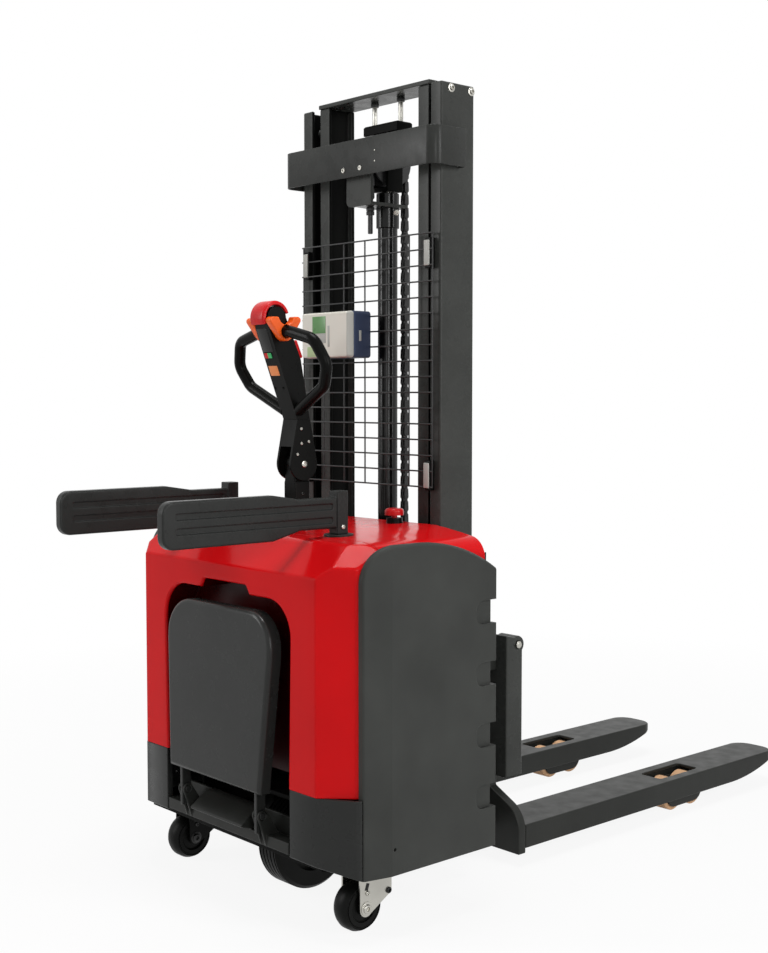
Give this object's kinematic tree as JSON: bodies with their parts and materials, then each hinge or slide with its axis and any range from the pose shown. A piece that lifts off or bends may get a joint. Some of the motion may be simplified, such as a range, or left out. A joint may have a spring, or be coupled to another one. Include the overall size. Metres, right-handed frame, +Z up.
{
  "type": "electric rider stacker",
  "caption": "Electric stacker truck with a two-stage chain mast, forks over support legs, a tiller, a folding driver platform and swing-out arm guards.",
  "frame": {"origin": "on the floor, in the middle of the overall width and length", "axes": "+Z up, +Y from the driver's end towards the fork tips, +X to the right of a driver who faces the forks"},
  "size_m": [0.841, 2.086, 1.877],
  "materials": {
    "body_red": "smooth glossy red moulding",
    "frame_charcoal": "charcoal powder coat, semi-matt",
    "black_plastic": "black moulded plastic, fine grain",
    "wire_black": "black coated wire",
    "charger_ivory": "ivory moulding, satin",
    "charger_navy": "navy paint, satin",
    "bright_steel": "plated steel",
    "chain_steel": "oiled dark steel",
    "roller_steel": "ground steel",
    "cast_grey": "cast housing",
    "wheel_rubber": "black tyre rubber",
    "roller_tan": "tan polyurethane",
    "control_orange": "orange moulding",
    "control_red": "signal red moulding"
  },
  "bodies": {
    "chassis": {"base_frame": "frame_charcoal", "chassis_frame": "frame_charcoal", "rear_skirts": "frame_charcoal", "rear_hood": "body_red", "front_hood": "body_red", "side_panels": "frame_charcoal", "platform_bracket": "frame_charcoal", "outer_rails": "frame_charcoal", "mast_cover": "frame_charcoal", "guard_mesh": "wire_black", "charger_cover": "charger_ivory", "charger_base": "charger_navy", "lift_cylinder": "frame_charcoal", "cylinder_bracket": "frame_charcoal", "mast_fasteners": "bright_steel", "estop_base": "black_plastic", "guard_sockets": "frame_charcoal", "batteries": "black_plastic", "pump_unit": "cast_grey", "motor_controller": "cast_grey", "chain_rear": "chain_steel"},
    "inner_mast": {"inner_rails": "frame_charcoal", "mast_top_plate": "frame_charcoal", "crosshead": "frame_charcoal", "hanger_rods": "bright_steel", "piston_rod": "bright_steel", "chain_front": "chain_steel"},
    "carriage": {"carriage_frame": "frame_charcoal", "carriage_uprights": "frame_charcoal", "fork_left": "frame_charcoal", "fork_right": "frame_charcoal", "tie_shaft": "bright_steel"},
    "pulley": {"chain_pulley": "chain_steel"},
    "outer_guides": {"outer_guide_rollers": "roller_steel"},
    "inner_guides": {"inner_guide_rollers": "roller_steel"},
    "carriage_guides_upper": {"carriage_rollers_upper": "roller_steel"},
    "carriage_guides_lower": {"carriage_rollers_lower": "roller_steel"},
    "steering": {"steering_turret": "frame_charcoal", "drive_motor": "cast_grey"},
    "drive": {"drive_wheel": "wheel_rubber"},
    "tiller": {"tiller_yoke": "frame_charcoal", "tiller_head": "black_plastic", "tiller_grips": "black_plastic"},
    "throttle": {"throttle": "control_orange"},
    "lift_rocker": {"lift_rocker": "control_red"},
    "reverse_cap": {"reverse_cap": "control_red"},
    "estop_button": {"estop_button": "control_red"},
    "platform": {"platform": "black_plastic"},
    "guard_arm_left": {"guard_arm_left": "black_plastic"},
    "guard_arm_right": {"guard_arm_right": "black_plastic"},
    "caster_fork_left": {"caster_fork_left": "frame_charcoal"},
    "caster_fork_right": {"caster_fork_right": "bright_steel"},
    "caster_wheel_left": {"caster_wheel_left": "wheel_rubber"},
    "caster_wheel_right": {"caster_wheel_right": "wheel_rubber"},
    "bogie_left": {"bogie_left": "frame_charcoal"},
    "bogie_right": {"bogie_right": "frame_charcoal"},
    "load_roller_left_front": {"load_roller_left_front": "roller_tan"},
    "load_roller_left_rear": {"load_roller_left_rear": "roller_tan"},
    "load_roller_right_front": {"load_roller_right_front": "roller_tan"},
    "load_roller_right_rear": {"load_roller_right_rear": "roller_tan"}
  },
  "joints": [
    {"name": "mast_lift", "type": "slide", "parent": "chassis", "child": "inner_mast", "axis": [0, 0, 1], "range_m": [0, 1.25], "deforming": ["chain_rear"]},
    {"name": "carriage_lift", "type": "slide", "parent": "inner_mast", "child": "carriage", "axis": [0, 0, 1], "range_m": [0, 1.25], "deforming": ["chain_front"]},
    {"name": "pulley_spin", "type": "hinge", "parent": "inner_mast", "child": "pulley", "pos_m": [0, -0.25, 1.718], "axis": [1, 0, 0], "continuous": true},
    {"name": "outer_guide_spin", "type": "hinge", "parent": "chassis", "child": "outer_guides", "pos_m": [0, -0.259, 1.815], "axis": [1, 0, 0], "continuous": true},
    {"name": "inner_guide_spin", "type": "hinge", "parent": "inner_mast", "child": "inner_guides", "pos_m": [0, -0.259, 0.19], "axis": [1, 0, 0], "continuous": true},
    {"name": "carriage_guide_upper_spin", "type": "hinge", "parent": "carriage", "child": "carriage_guides_upper", "pos_m": [0, -0.259, 0.47], "axis": [1, 0, 0], "continuous": true},
    {"name": "carriage_guide_lower_spin", "type": "hinge", "parent": "carriage", "child": "carriage_guides_lower", "pos_m": [0, -0.259, 0.225], "axis": [1, 0, 0], "continuous": true},
    {"name": "steer", "type": "hinge", "parent": "chassis", "child": "steering", "pos_m": [0, -0.535, 0.26], "axis": [0, 0, 1], "range_deg": [-60, 60]},
    {"name": "drive_spin", "type": "hinge", "parent": "steering", "child": "drive", "pos_m": [0.028, -0.535, 0.115], "axis": [1, 0, 0], "continuous": true},
    {"name": "tiller_tilt", "type": "hinge", "parent": "steering", "child": "tiller", "pos_m": [0, -0.535, 0.992], "axis": [1, 0, 0], "range_deg": [0, 50], "stiffness_Nm_per_rad": 10, "springref_deg": -34.38},
    {"name": "throttle_turn", "type": "hinge", "parent": "tiller", "child": "throttle", "pos_m": [0, -0.6, 1.294], "axis": [1, 0, 0], "range_deg": [-25, 25], "stiffness_Nm_per_rad": 0.6},
    {"name": "rocker_tip", "type": "hinge", "parent": "tiller", "child": "lift_rocker", "pos_m": [-0.008, -0.60713, 1.24208], "axis": [0, -0.3584, 0.9336], "range_deg": [-6, 6], "stiffness_Nm_per_rad": 0.05},
    {"name": "reverse_press", "type": "slide", "parent": "tiller", "child": "reverse_cap", "axis": [0, 0.3584, -0.9336], "range_m": [0, 0.004], "stiffness_N_per_m": 1200, "springref_m": -0.003},
    {"name": "estop_press", "type": "slide", "parent": "chassis", "child": "estop_button", "axis": [0, 0, 1], "range_m": [-0.006, 0]},
    {"name": "platform_fold", "type": "hinge", "parent": "chassis", "child": "platform", "pos_m": [0, -0.755, 0.235], "axis": [1, 0, 0], "range_deg": [0, 92.5], "stiffness_Nm_per_rad": 18, "springref_deg": -28.65},
    {"name": "guard_swing_left", "type": "hinge", "parent": "chassis", "child": "guard_arm_left", "pos_m": [-0.205, -0.58, 0.9], "axis": [0, 0, -1], "range_deg": [-15, 90]},
    {"name": "caster_swivel_left", "type": "hinge", "parent": "chassis", "child": "caster_fork_left", "pos_m": [-0.322, -0.592, 0.14], "axis": [0, 0, 1], "continuous": true},
    {"name": "caster_spin_left", "type": "hinge", "parent": "caster_fork_left", "child": "caster_wheel_left", "pos_m": [-0.322, -0.628, 0.054], "axis": [1, 0, 0], "continuous": true},
    {"name": "bogie_rock_left", "type": "hinge", "parent": "chassis", "child": "bogie_left", "pos_m": [-0.2235, 0.636, 0.06], "axis": [1, 0, 0], "range_deg": [-4, 4]},
    {"name": "load_roller_spin_left_front", "type": "hinge", "parent": "bogie_left", "child": "load_roller_left_front", "pos_m": [-0.2235, 0.681, 0.0435], "axis": [1, 0, 0], "continuous": true},
    {"name": "load_roller_spin_left_rear", "type": "hinge", "parent": "bogie_left", "child": "load_roller_left_rear", "pos_m": [-0.2235, 0.591, 0.0435], "axis": [1, 0, 0], "continuous": true},
    {"name": "guard_swing_right", "type": "hinge", "parent": "chassis", "child": "guard_arm_right", "pos_m": [0.205, -0.58, 0.9], "axis": [0, 0, 1], "range_deg": [-15, 90]},
    {"name": "caster_swivel_right", "type": "hinge", "parent": "chassis", "child": "caster_fork_right", "pos_m": [0.322, -0.592, 0.14], "axis": [0, 0, 1], "continuous": true},
    {"name": "caster_spin_right", "type": "hinge", "parent": "caster_fork_right", "child": "caster_wheel_right", "pos_m": [0.322, -0.628, 0.054], "axis": [1, 0, 0], "continuous": true},
    {"name": "bogie_rock_right", "type": "hinge", "parent": "chassis", "child": "bogie_right", "pos_m": [0.2235, 0.636, 0.06], "axis": [1, 0, 0], "range_deg": [-4, 4]},
    {"name": "load_roller_spin_right_front", "type": "hinge", "parent": "bogie_right", "child": "load_roller_right_front", "pos_m": [0.2235, 0.681, 0.0435], "axis": [1, 0, 0], "continuous": true},
    {"name": "load_roller_spin_right_rear", "type": "hinge", "parent": "bogie_right", "child": "load_roller_right_rear", "pos_m": [0.2235, 0.591, 0.0435], "axis": [1, 0, 0], "continuous": true}
  ],
  "couplings": [
    {"joint": "carriage_lift", "follows": "mast_lift", "ratio": 1},
    {"joint": "pulley_spin", "follows": "mast_lift", "rad_per_m": 17.699},
    {"joint": "outer_guide_spin", "follows": "mast_lift", "rad_per_m": -31.546},
    {"joint": "inner_guide_spin", "follows": "mast_lift", "rad_per_m": 23.419},
    {"joint": "carriage_guide_upper_spin", "follows": "mast_lift", "rad_per_m": -31.546},
    {"joint": "carriage_guide_lower_spin", "follows": "mast_lift", "rad_per_m": 31.546}
  ]
}
